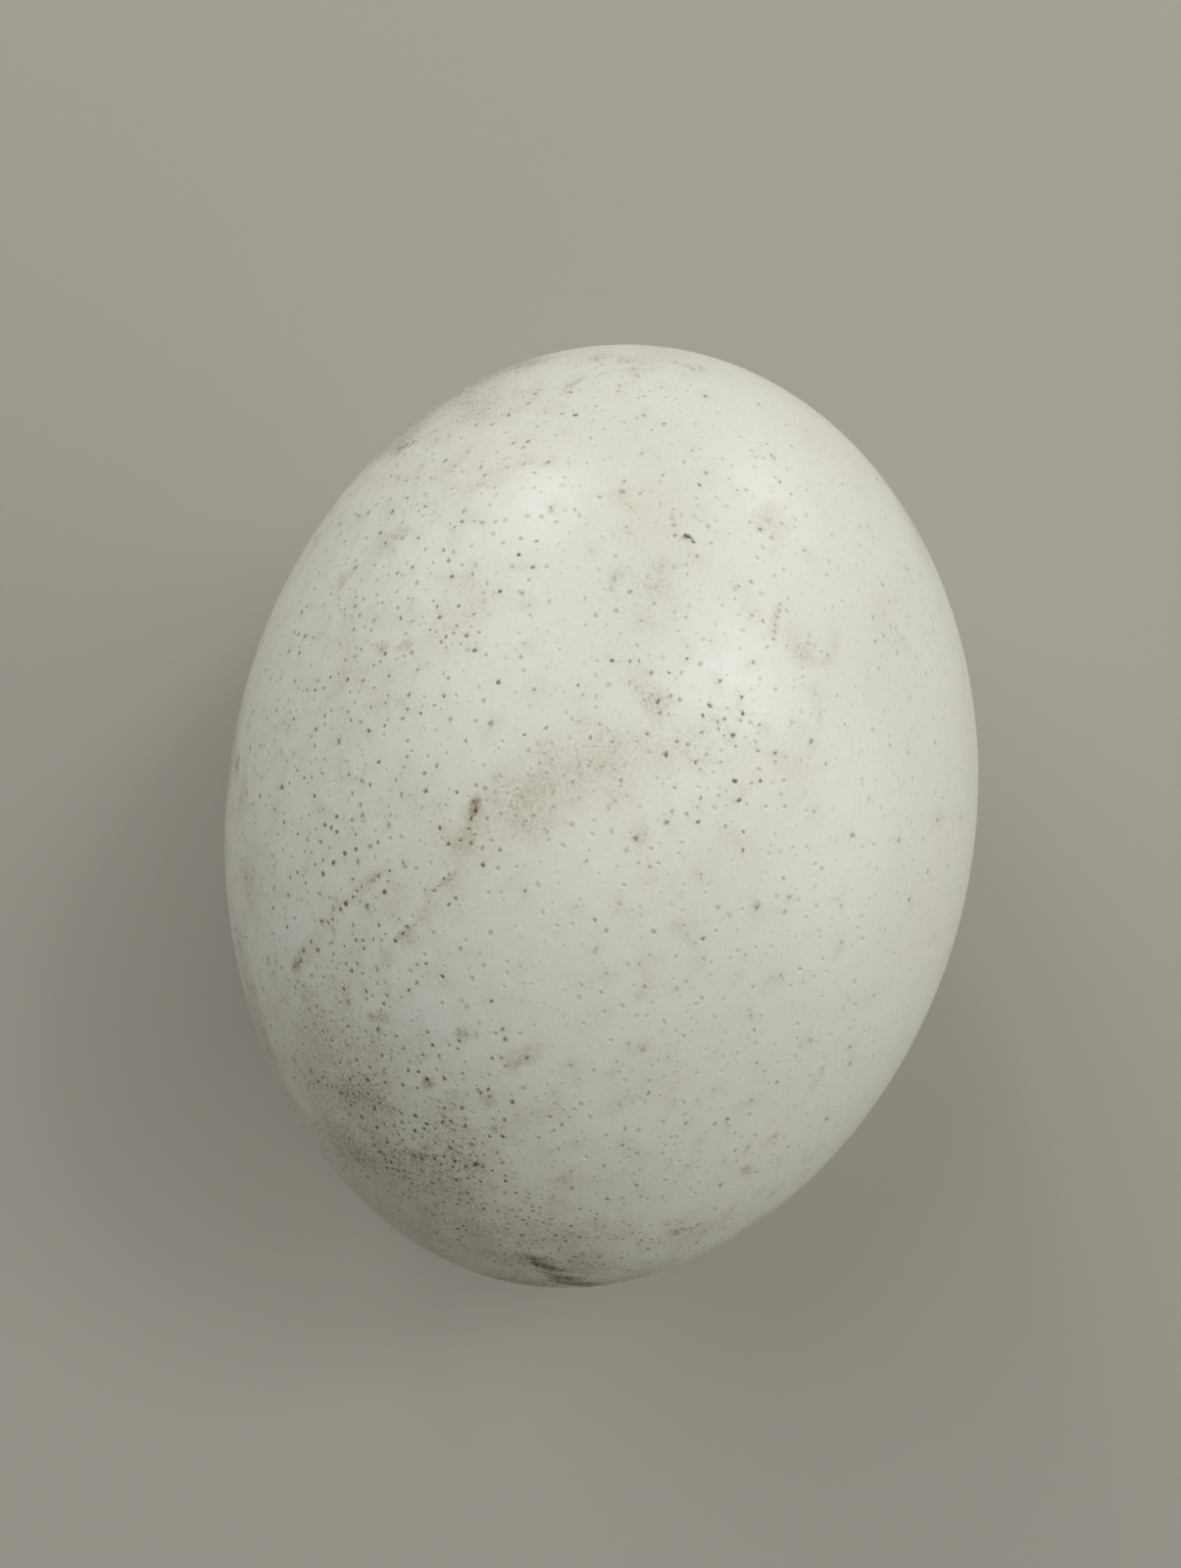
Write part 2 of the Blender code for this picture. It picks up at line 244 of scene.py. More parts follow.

# Each row is name, along, around, length, width, turn, strength, and the soil where it isn't the light-brown
# wash; the rows noted below as painted shade or painted highlight stand for light, not soil
MARKS = tuple(Mark(*row) for row in (
    # The long rub across the middle and what hangs on it
    ("rub_body", -8, -1.5, 28, 11, 61, 0.33),
    ("rub_core", -9, -2.5, 18, 5, 61, 0.12),
    ("rub_tail", -13.5, -9, 13, 7, 58, 0.13),
    ("rub_right", -2, 13, 16, 9, 75, 0.2),
    ("rub_end", -2, 22, 9, 8, 80, 0.14),
    ("rub_knot", -14, -13.4, 3, 2, 20, 0.72, RUSSET),
    ("rub_knot_heart", -14.7, -13.6, 1.2, 0.9, 0, 0.2, GRIME_AND_SHADE),
    ("rub_knot_tail", -18.2, -12.8, 2.2, 1.2, 30, 0.5, RUSSET),
    ("rub_knot_halo", -15.6, -13.6, 8, 3.4, 12, 0.4),
    ("rub_knot_wash", -18.6, -15, 4.6, 7, 35, 0.36),
    ("thin_streak", -24.3, -17.2, 5, 0.9, 44, 0.5, RUSSET),
    ("thin_streak_neck", -20.6, -13.9, 6.5, 0.7, 43, 0.48, RUSSET),
    ("thin_streak_turn", -27.2, -18.9, 2.6, 0.9, 35, 0.46, RUSSET),
    ("thin_streak_end", -30.2, -21.7, 5, 0.9, 45, 0.46, RUSSET),
    ("thin_streak_foot", -33.4, -24.2, 2, 1.4, 50, 0.4, RUSSET),
    ("streak_wash", -27, -24, 24, 14, 50, 0.2),
    ("dotted_streak", -26, -28.5, 12, 2.4, 52, 0.34),
    ("dotted_streak_low", -33.4, -37.4, 10, 2.6, 50, 0.34),
    ("dotted_streak_foot", -36.2, -41.4, 2.8, 2, 30, 0.66, RUSSET),
    ("dotted_streak_smear", -34.6, -39.9, 3, 1.1, 35, 0.46, RUSSET),
    ("dotted_streak_middle", -30.3, -34.6, 2.6, 1.4, 70, 0.5, GRIME_AND_SHADE),
    ("dotted_streak_branch", -31.2, -32.8, 2.6, 1, 160, 0.36, RUSSET),
    ("dotted_streak_head", -23.8, -25.8, 4.4, 1.2, 55, 0.55, RUSSET),
    ("dotted_streak_start", -21.6, -21.8, 1.4, 1.2, 0, 0.5, GRIME_AND_SHADE),
    # Upper left
    ("fleck", 22.8, -33.3, 2.6, 1.2, 50, 1, GRIME_AND_SHADE),
    ("fleck_halo", 21.8, -35, 9, 5, 40, 0.55),
    ("left_blot", 17.2, -40, 6, 3, 20, 0.62),
    ("left_dash", 6.2, -29.7, 3.4, 1.8, 88, 0.6, RUSSET),
    ("left_dash_right", 6.7, -26, 3.4, 1.4, 50, 0.5, RUSSET),
    ("left_freckles", 8, -30, 30, 22, 0, 0.16),
    ("speckled_patch", 14, -18, 12, 9, 0, 0.28),
    ("upper_left_veil", 32, -30, 26, 16, 60, 0.22),
    ("shoulder_smear", 43.1, -43.5, 8, 3.6, 80, 0.52, GRIME_AND_SHADE),
    ("shoulder_smear_edge", 44.5, -50, 14, 7, 70, 0.5),
    ("shoulder_smear_two", 45.5, -27.9, 5, 3.6, 130, 0.4, GRIME_AND_SHADE),
    ("shoulder_smear_three", 51.1, -23.1, 6, 4, 100, 0.34, GRIME_AND_SHADE),
    ("shoulder_film", 50, -34, 26, 18, 80, 0.4),
    ("shoulder_specks", 50, -40, 34, 22, 80, 0.14, GRIME_AND_SHADE),
    ("blunt_end_spot", 61.6, -14.5, 5, 4, 0, 0.52, GRIME_AND_SHADE),
    ("blunt_end_spot_two", 60.5, -8, 4, 3, 0, 0.34, GRIME_AND_SHADE),
    ("blunt_end_speck", 53, -15.4, 7, 3, 10, 0.5, GRIME_AND_SHADE),
    ("blunt_end_shade", 61.6, 5.6, 6, 3.4, 90, 0.34, GRIME_AND_SHADE),
    ("left_shoulder_wash", 56, -54, 38, 26, 30, 0.6),
    ("left_shoulder_edge", 63, -40, 24, 9, 80, 0.56, GRIME_AND_SHADE),
    # Partly painted shade: these two darken the left shoulder's rim and the blunt end's edge
    ("left_shoulder_rim_dirt_and_shade", 50, -56, 36, 16, 30, 0.3, GRIME_AND_SHADE),
    ("blunt_end_film_and_shade", 63, -18, 14, 40, 0, 0.48),
    ("shoulder_edge_film", 55, -48, 34, 11.5, 50, 0.34),
    ("shoulder_edge_dashes", 60, -36, 20, 7, 85, 0.3, GRIME_AND_SHADE),
    # Upper right
    ("flake_wash", 27, 2.6, 22, 9, 0, 0.24),
    ("flake", 25.9, 6.8, 1.7, 1.1, 100, 1, GRIME_AND_SHADE),
    ("middle_wash", 15, 3, 17, 10, 10, 0.24),
    ("middle_tick", 18.3, -1.3, 4, 2, 0, 0.44),
    ("ring_left", 15, 21.4, 6, 2.4, 0, 0.4),
    ("ring_low", 12.9, 23.6, 7, 2.6, 80, 0.38),
    ("ring_middle", 14.6, 23.4, 5, 2.4, 20, 0.38),
    ("ring_right", 15.6, 26.9, 8, 2.6, 5, 0.38),
    ("upper_right_tick", 33, 17.2, 7, 3.2, 15, 0.44),
    ("upper_right_wash", 29.2, 19.1, 8, 4, 10, 0.4),
    ("tick_wash", 16.5, 19, 7, 2.2, 0, 0.34),
    ("upper_right_film", 50, 36, 14, 24, 0, 0.3),
    ("right_film", 20, 40, 40, 16, 0, 0.2),
    ("cluster_wash", 2.6, 5.4, 6, 4, 90, 0.42),
    ("cluster_wash_right", -2, 24, 9, 7, 0, 0.16),
    ("crease_stain", -19.7, 21.2, 2.4, 1.6, 90, 0.4, RUSSET),
    ("low_middle_stain", -13.3, 5.8, 5, 3, 10, 0.44),
    ("right_freckles", 22, 36, 16, 8, 30, 0.18),
    # Lower middle
    ("russet_spot", -42.4, -3.4, 6.4, 3.2, 78, 0.38, RUSSET),
    ("russet_spot_low", -48.9, -8.3, 4, 3, 120, 0.34, RUSSET),
    ("russet_spot_beside", -44.1, -4.9, 3, 2, 60, 0.36, RUSSET),
    ("russet_spot_left", -41.3, -13, 2.4, 2.2, 0, 0.46, RUSSET),
    ("low_spot_left", -47.9, -18, 3, 2.6, 60, 0.8),
    ("low_dash", -41, -26, 6, 2, 90, 0.55, RUSSET),
    ("low_tick", -33.5, -24.2, 5, 3, 60, 0.34),
    ("low_wash_right", -42.5, 12.5, 13, 8, 80, 0.2),
    ("low_tick_right", -39.2, 11.5, 4.6, 2.4, 80, 0.3, RUSSET),
    ("waist_tick", -19.5, 21.6, 2, 1.4, 80, 0.24, RUSSET),
    ("lower_right_stain", -53.7, 39.8, 3.6, 3, 80, 0.55, RUSSET),
    ("lower_right_speck", -48.9, 39.8, 3.4, 2, 30, 0.38, RUSSET),
    ("lower_right_comma", -40.1, 42.1, 3, 1.6, 20, 0.46),
    ("lower_right_smear", -64.2, 36, 3.4, 2.2, 85, 0.62, GRIME_AND_SHADE),
    ("lower_right_film", -63, 42, 16, 8, 70, 0.36),
    ("lower_wash", -66, 10, 12, 6, 80, 0.28),
    # Small end
    ("tip_clump", -72.3, 7, 5.6, 3, 100, 0.95, GRIME_AND_SHADE),
    ("tip_shade", -72, 6, 7, 26, 0, 0.42, GRIME_AND_SHADE),
    ("tip_clump_left", -70.9, 2.6, 5, 2.4, 100, 0.7, GRIME_AND_SHADE),
    ("tip_clump_right", -74.2, 17, 9, 3, 100, 0.85, GRIME_AND_SHADE),
    ("tip_clump_end", -75.4, 27, 9, 3, 100, 0.9, GRIME_AND_SHADE),
    ("tip_clump_far", -76.4, 42, 8, 3, 100, 0.75, GRIME_AND_SHADE),
    # Lower left, the dirtiest part
    ("cloud", -52.3, -32, 14, 10, 90, 0.36, GRIME_AND_SHADE),
    ("cloud_core", -52.2, -27.4, 7, 4, 120, 0.26, GRIME_AND_SHADE),
    ("cloud_head", -51, -34.5, 7, 4, 90, 0.3, GRIME_AND_SHADE),
    ("cloud_streak", -58.3, -23, 5, 1.6, 84, 0.6, GRIME_AND_SHADE),
    ("cloud_wash", -58, -11.5, 5, 4, 84, 0.36, GRIME_AND_SHADE),
    ("cloud_right", -54.5, -15, 12, 12, 70, 0.34, GRIME_AND_SHADE),
    ("cloud_low", -61, -24, 24, 10, 88, 0.32, GRIME_AND_SHADE),
    ("cloud_left", -60, -42, 14, 9, 80, 0.36, GRIME_AND_SHADE),
    ("cloud_film", -58, -24, 52, 28, 90, 0.42),
    ("end_grime", -67.8, -8, 20, 6, 95, 0.36, GRIME_AND_SHADE),
    ("above_cloud", -44, -32, 26, 10, 90, 0.22, GRIME_AND_SHADE),
    ("left_low_wash", -46, -34, 36, 30, 20, 0.36),
    # Left flank; the band and the dark rim below are partly dirt, partly painted shade
    ("left_edge_blot", -8.2, -61, 4, 3.4, 80, 0.75, GRIME_AND_SHADE),
    ("left_edge_blot_wash", -7, -66, 18, 10, 20, 0.55),
    ("left_edge_wash", -14.5, -57.5, 9, 4, 20, 0.55),
    ("left_edge_wash_low", -26, -54, 12, 7, 30, 0.5),
    # Partly painted shade: these two darken the left rim, where little light reaches
    ("left_edge_band_and_shade", -44, -63, 34, 10, 0, 0.44),
    ("left_rim_dirt_and_shade", -5, -70, 34, 8, 8, 0.5, GRIME_AND_SHADE),
    # Right flank; the dark rim is partly dirt, partly painted shade
    # Partly painted shade: darkens the right rim
    ("right_rim_dirt_and_shade", 6, 72, 20, 5, 0, 0.3, GRIME_AND_SHADE),
    ("right_shoulder_wash", 52, 58, 36, 11.5, 10, 0.46),
    ("right_foot_wash", -64, 66, 14, 14, 0, 0.45),
    # Cuticle rubbed off, and painted highlight where highlights fall
    ("worn_left", -21, -42, 22, 16, 20, 0.28, WORN_AND_HIGHLIGHT),
    ("worn_low", -46.5, -14, 26, 7, 80, 0.28, WORN_AND_HIGHLIGHT),
    ("worn_low_left", -46, -53, 24, 9, 0, 0.28, WORN_AND_HIGHLIGHT),
    ("worn_end", -61, 14, 28, 9, 85, 0.21, WORN_AND_HIGHLIGHT),
    # Painted highlight: the next two and the middle patch below whiten the shell where highlights fall; the
    # shoulder patch is partly rubbed cuticle, partly painted highlight
    ("painted_highlight_upper_left", 29, -12, 16, 7, 20, 0.24, WORN_AND_HIGHLIGHT),
    ("painted_highlight_upper_right", 37, 15, 14, 8, 0, 0.21, WORN_AND_HIGHLIGHT),
    ("worn_and_highlight_shoulder", 34, 22, 36, 32, 0, 0.45, WORN_AND_HIGHLIGHT),
    ("painted_highlight_middle", 7, 12, 12, 12, 0, 0.17, WORN_AND_HIGHLIGHT),
    ("worn_waist", -11, 8.5, 8, 5, 70, 0.24, WORN_AND_HIGHLIGHT),
    ("worn_left_flank", 4, -52, 34, 10, 0, 0.17, WORN_AND_HIGHLIGHT),
    ("worn_far_side", 2, 140, 30, 14, 40, 0.24, WORN_AND_HIGHLIGHT),
    ("worn_underside", -20, -140, 24, 12, 70, 0.24, WORN_AND_HIGHLIGHT),
    # Far side and underneath, as the rest of the shell leads one to expect; the lower films and the round
    # films over both ends are partly painted shade, darker towards the floor and the ends
    # Partly painted shade: a film over the lower left side
    ("left_lower_film_and_shade", -4, -104, 150, 74, 0, 0.52),
    ("left_side_patch", -30, -86, 30, 14, 25, 0.32),
    ("left_side_patch_two", 20, -92, 26, 12, -35, 0.3),
    ("left_side_streak", -2, -98, 30, 3.6, 20, 0.4),
    # Partly painted shade: a film over the lower right side
    ("right_lower_film_and_shade", 4, 106, 150, 72, 0, 0.44),
    ("right_side_patch", -24, 90, 28, 13, -20, 0.3),
    ("right_side_patch_two", 32, 82, 22, 10, 40, 0.3),
    ("right_side_streak", 6, 97, 26, 3.6, -15, 0.4),
    # Partly painted shade: these three darken the blunt end and the small end
    ("blunt_end_round_film_and_shade", 78, 0, 64, 64, 0, 0.56),
    ("small_end_round_film_and_shade", -78, 0, 54, 54, 0, 0.68),
    ("small_end_dust_and_shade", -77, 40, 38, 46, 0, 0.3, GRIME_AND_SHADE),
    ("under_wash", -6, 178, 60, 38, 12, 0.42),
    ("under_scuff", 6, 171, 30, 9, 24, 0.45, GRIME_AND_SHADE),
    ("under_scuff_two", -18, -168, 22, 6, 60, 0.4, GRIME_AND_SHADE),
    ("foot_ring", 0, 180, 24, 19, 0, 0.35, GRIME_AND_SHADE),
    ("far_right_smear", 22, 124, 28, 8, 35, 0.42),
    ("far_right_blot", 31, 112, 8, 5, 50, 0.48, GRIME_AND_SHADE),
    ("far_right_low", -38, 118, 20, 12, 70, 0.32),
    ("far_right_speck", -12, 104, 4, 3, 0, 0.6, GRIME_AND_SHADE),
    ("far_left_smear", 30, -116, 24, 7, 115, 0.4),
    ("far_left_blot", 4, -128, 9, 6, 30, 0.45, GRIME_AND_SHADE),
    ("far_left_low", -44, -122, 22, 14, 60, 0.38),
    ("blunt_end_scuff", 73, 140, 10, 4, 60, 0.45, GRIME_AND_SHADE),
    ("blunt_end_low_wash", 60, 175, 26, 14, 90, 0.34),
    ("small_end_low", -70, 160, 16, 8, 80, 0.48, GRIME_AND_SHADE),
))


def smooth_step(low: float, high: float, values: np.ndarray) -> np.ndarray:
    """Eases from 0 at low to 1 at high.

    Args:
        low: value at which the result is 0; it may be the larger of the two.
        high: value at which the result is 1.
        values: numbers to ease.

    Returns:
        The eased numbers.
    """
    t = np.clip((values - low) / (high - low), 0.0, 1.0)
    return t * t * (3.0 - 2.0 * t)


def search_tree(places: list[Vector]) -> kdtree.KDTree:
    """Makes ready to look for the nearest of some places.

    Args:
        places: the places, found again by their order.

    Returns:
        The tree.
    """
    tree = kdtree.KDTree(len(places))
    for index, place in enumerate(places):
        tree.insert(place, index)
    tree.balance()
    return tree


def any_way(rng: random.Random, reach: float) -> Vector:
    """A random step of up to the reach along each axis."""
    return Vector([rng.uniform(-reach, reach) for _ in range(3)])


def pointing(azimuth: float, elevation: float) -> Vector:
    """Turns two angles into a direction.

    Args:
        azimuth: degrees from +Y towards +X.
        elevation: degrees up from level.

    Returns:
        The unit vector.
    """
    turn, rise = math.radians(azimuth), math.radians(elevation)
    return Vector((math.sin(turn) * math.cos(rise), math.cos(turn) * math.cos(rise), math.sin(rise)))


@dataclass(frozen=True)
class EggForm:
    """The outline of the egg, the same as that of the solid it dresses."""

    length: float = 159.0
    breadth: float = 125.0
    blunt_swell: float = 0.017
    end_taper: float = -0.018
    tip_skew: float = 0.013
    side_bow: float = 0.45
    blunt_end_rise: float = math.radians(1.0)
    flat_depth: float = 0.45
    solve_steps: int = 12
    area_steps: int = 4001  # places along the axis at which the shell's area is added up

    def lying(self) -> np.ndarray:
        """The turn about X that brings the egg from a level axis to how it lies."""
        c, s = math.cos(self.blunt_end_rise), math.sin(self.blunt_end_rise)
        return np.array([[1.0, 0.0, 0.0], [0.0, c, -s], [0.0, s, c]])

    def fullness(self, latitude: np.ndarray) -> np.ndarray:
        """How much fuller than an ellipsoid the shell is at each latitude, -1 to 1 from tip to tip."""
        swell = 1.0 + self.blunt_swell * latitude
        return swell + self.end_taper * latitude**2 + self.tip_skew * latitude**3

    def surface(self, directions: np.ndarray) -> np.ndarray:
        """Finds the shell along directions from the egg's middle.

        Args:
            directions: unit vectors as the egg lies, one a row.

        Returns:
            Points on the unbowed shell in metres, the middle at the origin.
        """
        turned = directions @ self.lying()
        across = np.hypot(turned[:, 0], turned[:, 2])
        latitude = turned[:, 1]
        for _ in range(self.solve_steps):
            side = across / (self.breadth / 2 * self.fullness(latitude))
            reach = 1.0 / np.hypot(side, turned[:, 1] / (self.length / 2))
            latitude = reach * turned[:, 1] / (self.length / 2)
        return (turned * reach[:, None]) @ self.lying().T * MM

    def flat_level(self) -> float:
        """Height of the resting spot, in metres, seen from the egg's middle."""
        lowest = self.surface(np.array([[0.0, 0.0, -1.0]]))[0, 2]
        return float(lowest + self.flat_depth * MM)

    def girth(self, along: np.ndarray) -> np.ndarray:
        """Radius of the shell in millimetres at places along the axis."""
        latitude = along / (self.length / 2)
        return self.breadth / 2 * self.fullness(latitude) * np.sqrt(np.maximum(0.0, 1.0 - latitude**2))

    def at(self, along: np.ndarray | float, around: np.ndarray | float) -> np.ndarray:
        """Finds places on the shell.

        Args:
            along: millimetres along the axis, towards the blunt end.
            around: degrees around the axis from the top, towards +X.

        Returns:
            The points on the unbowed shell in metres, the middle at the origin.
        """
        along, turn = np.asarray(along, dtype=float), np.radians(np.asarray(around, dtype=float))
        radius = self.girth(along)
        level = np.stack([radius * np.sin(turn), along, radius * np.cos(turn)], axis=-1)
        return level @ self.lying().T * MM

    def within(self, patch: Patch, row: float, column: float) -> tuple[float, float]:
        """Finds how far along and around the egg a place in or beside a patch is.

        Args:
            patch: the patch.
            row: how far the place is from the patch's middle, lengthwise.
            column: the same sidewise.

        Returns:
            Along and around.
        """
        turn = math.radians(patch.turn)
        degree = math.radians(1.0) * float(self.girth(np.array(patch.along)))
        along = patch.along + row * math.cos(turn) - column * math.sin(turn)
        return along, patch.around + (row * math.sin(turn) + column * math.cos(turn)) / degree

    def spread(self, count: int) -> np.ndarray:
        """Spreads points evenly over the shell in a golden spiral.

        Args:
            count: how many.

        Returns:
            The points on the unbowed shell in metres.
        """
        along = np.linspace(-self.length / 2, self.length / 2, self.area_steps)
        girth = self.girth(along)
        belts = np.hypot(np.diff(along), np.diff(girth)) * (girth[1:] + girth[:-1])
        area = np.concatenate([[0.0], np.cumsum(belts)])
        shares = (np.arange(count) + 0.5) / count * area[-1]
        return self.at(np.interp(shares, area, along), np.degrees(GOLDEN_TURN * np.arange(count)))

    def set_down(self, points: np.ndarray) -> np.ndarray:
        """Bows the waist and sets the egg down on z = 0.

        Args:
            points: points in metres with the egg's middle at the origin.

        Returns:
            The same points in the part's frame.
        """
        placed = points.copy()
        placed[:, 0] -= self.side_bow * MM * (placed[:, 1] / (self.length / 2 * MM)) ** 2
        placed[:, 2] -= self.flat_level()
        return placed


def cover(form: EggForm, patch: Patch, points: np.ndarray, edge: float, core: float) -> np.ndarray:
    """Works out how fully a patch covers places on the shell.

    Args:
        form: the egg's outline.
        patch: the patch.
        points: places on the unbowed shell in metres.
        edge: where the patch has faded out, in half widths from its middle.
        core: where it is still whole.

    Returns:
        The cover of each place, 0 to 1.
    """
    step = 0.5  # millimetres or degrees to either side, from which the patch's own axes are found
    tip = form.length / 2 - 0.05  # a hair short of the shell's end
    near_side = 0.1  # places that face away from the patch's middle by more than this aren't covered
    centre = form.at(patch.along, patch.around)
    before = form.at(patch.along - step, patch.around)
    ahead = form.at(min(patch.along + step, tip), patch.around) - before
    ahead /= np.linalg.norm(ahead)
    side = form.at(patch.along, patch.around + step) - form.at(patch.along, patch.around - step)
    side /= np.linalg.norm(side)
    turn = math.radians(patch.turn)
    long_side = math.cos(turn) * ahead + math.sin(turn) * side
    short_side = math.cos(turn) * side - math.sin(turn) * ahead
    offset = points - centre
    lengthwise = offset @ long_side / (patch.length / 2 * MM)
    sidewise = offset @ short_side / (patch.width / 2 * MM)
    facing = (points @ centre) / np.linalg.norm(centre) ** 2
    return smooth_step(edge, core, np.hypot(lengthwise, sidewise)) * (facing > near_side)


@dataclass
class PoreField:
    """Where the pores are, how wide and deep, and how much dirt each one holds."""

    form: EggForm
    spiral_count: int = 8150
    shake: float = 1.15  # how far a pore strays from its even place
    companion_share: float = 0.17  # pores with a second one close beside
    companion_gap: Span = (1.0, 1.4)
    least_gap: float = 0.90
    open_share: float = 0.50
    open_radius: Span = (0.44, 0.68)
    fine_radius: Span = (0.28, 0.44)
    dot_radius: Span = (0.30, 0.48)
    open_depth: Span = (0.05, 0.105)
    fine_depth: float = 0.035
    hand_swell: float = 1.10  # listed pores open this much wider than noted
    hand_sink: float = 1.5  # listed fine pores go this much deeper
    wide_dots_from: float = 0.80  # darkness from which a strewn dot is an open pore
    crowding: float = 0.46  # a pore's radius is at most this share of the gap to its neighbour
    common_darkness: float = 0.40
    spread: float = 0.32  # of the usual darkness
    dark_outliers: float = 0.035
    outlier_gain: Span = (0.3, 0.8)  # how much darker they are
    fine_share: float = 0.8  # of an open pore's darkness
    palest: float = 0.25
    darkest: float = 0.95
    stained_from: float = 0.52  # darkness from which earth is washed out around a pore
    stain: Span = (0.1, 0.5)
    scatter: float = 3.6  # spreads of a cluster's dots in its length or width
    tip_margin: float = 1.5  # no dot lies closer to a tip, along the axis
    reach_edge: float = 1.5  # where a soiled reach has faded out, in half widths from its middle
    reach_core: float = 0.2  # where it is still whole
    flat_clearance: float = 1.6  # from the rim of the resting spot
    flat_rise: float = 0.16  # the least height of a pore above the resting spot
    rim_corners: int = 48
    seed: int = 71

    def __post_init__(self) -> None:
        """Starts the source of every irregularity."""
        self.rng = random.Random(self.seed)

    def candidates(self) -> list[tuple[Vector, NamedPore | None]]:
        """Lays out every place where a pore may open.

        Returns:
            Places in metres, those listed first, then the shaken spiral, then the companions.
        """
        placed: list[tuple[Vector, NamedPore | None]] = []
        for pore in NAMED_PORES + self.trail_dots() + self.dots():
            placed.append((Vector(self.form.at(pore.along, pore.around)), pore))
        directions = []
        for even in self.form.spread(self.spiral_count):
            directions.append((Vector(even) + any_way(self.rng, self.shake * MM)).normalized())
        spiral = [Vector(point) for point in self.form.surface(np.array(directions))]
        beside = []
        for point in spiral:
            if self.rng.random() < self.companion_share:
                away = any_way(self.rng, 1.0)
                away -= away.project(point)
                step = away.normalized() * self.rng.uniform(*self.companion_gap) * MM
                beside.append((point + step).normalized())
        companions = [Vector(point) for point in self.form.surface(np.array(beside))]
        return placed + [(point, None) for point in spiral + companions]

    def dot(self, along: float, around: float, darkness: Span) -> NamedPore:
        """A dot of any of the usual sizes."""
        return NamedPore(along, around, self.rng.uniform(*self.dot_radius), self.rng.uniform(*darkness))

    def dots(self) -> tuple[NamedPore, ...]:
        """Strews the clusters' dots, thickest in the middle of each.

        Returns:
            The dots as pores.
        """
        strewn = []
        end = self.form.length / 2 - self.tip_margin
        for cluster in CLUSTERS:
            for _ in range(cluster.count):
                row = self.rng.gauss(0.0, cluster.length / self.scatter)
                column = self.rng.gauss(0.0, cluster.width / self.scatter)
                along, around = self.form.within(cluster, row, column)
                strewn.append(self.dot(max(min(along, end), -end), around, cluster.darkness))
        return tuple(strewn)

    def trail_dots(self) -> tuple[NamedPore, ...]:
        """Lines up the dots of the trails.

        Returns:
            The dots as pores.
        """
        lined = []
        for trail in TRAILS:
            along, around = np.array(trail.places, dtype=float).T
            degree = math.radians(1.0) * self.form.girth(along)
            legs = np.hypot(np.diff(along), np.diff(around) * (degree[1:] + degree[:-1]) / 2)
            reach = np.concatenate([[0.0], np.cumsum(legs)])
            for step in np.arange(0.0, reach[-1], trail.gap):
                here, turn, scale = (float(np.interp(step, reach, line)) for line in (along, around, degree))
                here += self.rng.uniform(-trail.stray, trail.stray)
                turn += self.rng.uniform(-trail.stray, trail.stray) / scale
                lined.append(self.dot(here, turn, trail.darkness))
        return tuple(lined)

    def darkness_at(self, points: np.ndarray) -> np.ndarray:
        """Adds up the soiled and clean reaches.

        Args:
            points: places on the unbowed shell in metres.

        Returns:
            The usual darkness of a pore at each place.
        """
        total = np.full(len(points), self.common_darkness)
        for reach in REACHES:
            total += reach.darker * cover(self.form, reach, points, self.reach_edge, self.reach_core)
        return total

    def lay_out(self) -> list[Pore]:
        """Chooses the pores that open, from the candidates, and sizes them.

        Returns:
            The pores, none closer to another than the least gap.
        """
        placed = self.candidates()
        tree = search_tree([point for point, _ in placed])
        level = self.form.flat_level() + self.flat_rise * MM
        kept: set[int] = set()
        for index, (point, _) in enumerate(placed):
            close = tree.find_range(point, self.least_gap * MM)
            if point.z > level and not any(other in kept for _, other, _ in close):
                kept.add(index)
        chosen = [placed[index] for index in sorted(kept)]
        points = [point for point, _ in chosen]
        neighbours = search_tree(points)
        pores = []
        for (point, by_hand), darkness in zip(chosen, self.darkness_at(np.array(points))):
            gap = neighbours.find_n(point, 2)[1][2]
            pores.append(self.sized(point, gap, float(darkness), by_hand))
        return pores

    def sized(self, point: Vector, gap: float, darkness: float, by_hand: NamedPore | None) -> Pore:
        """Gives one pore its width, depth and dirt.

        Args:
            point: its place in metres.
            gap: distance to the nearest other pore in metres.
            darkness: the usual darkness there.
            by_hand: what is listed for it, if anything is.

        Returns:
            The pore.
        """
        rng = self.rng
        is_open = rng.random() < self.open_share
        own = rng.gauss(darkness, self.spread * darkness)
        if rng.random() < self.dark_outliers:
            own += rng.uniform(*self.outlier_gain) * darkness
        stain = rng.uniform(*self.stain) if own > self.stained_from else 0.0
        if by_hand is not None:
            is_open = by_hand.radius > self.dot_radius[1] or by_hand.darkness > self.wide_dots_from
            radius = by_hand.radius * self.hand_swell
            depth = self.open_depth[1] if is_open else self.fine_depth * self.hand_sink
            own, stain = by_hand.darkness, rng.uniform(*self.stain)
        else:
            if is_open:
                radius, depth = rng.uniform(*self.open_radius), rng.uniform(*self.open_depth)
            else:
                radius, depth = rng.uniform(*self.fine_radius), self.fine_depth
                own *= self.fine_share
            own = min(max(own, self.palest), self.darkest)
        return Pore(point, min(radius * MM, gap * self.crowding), depth * MM, own, is_open, stain)


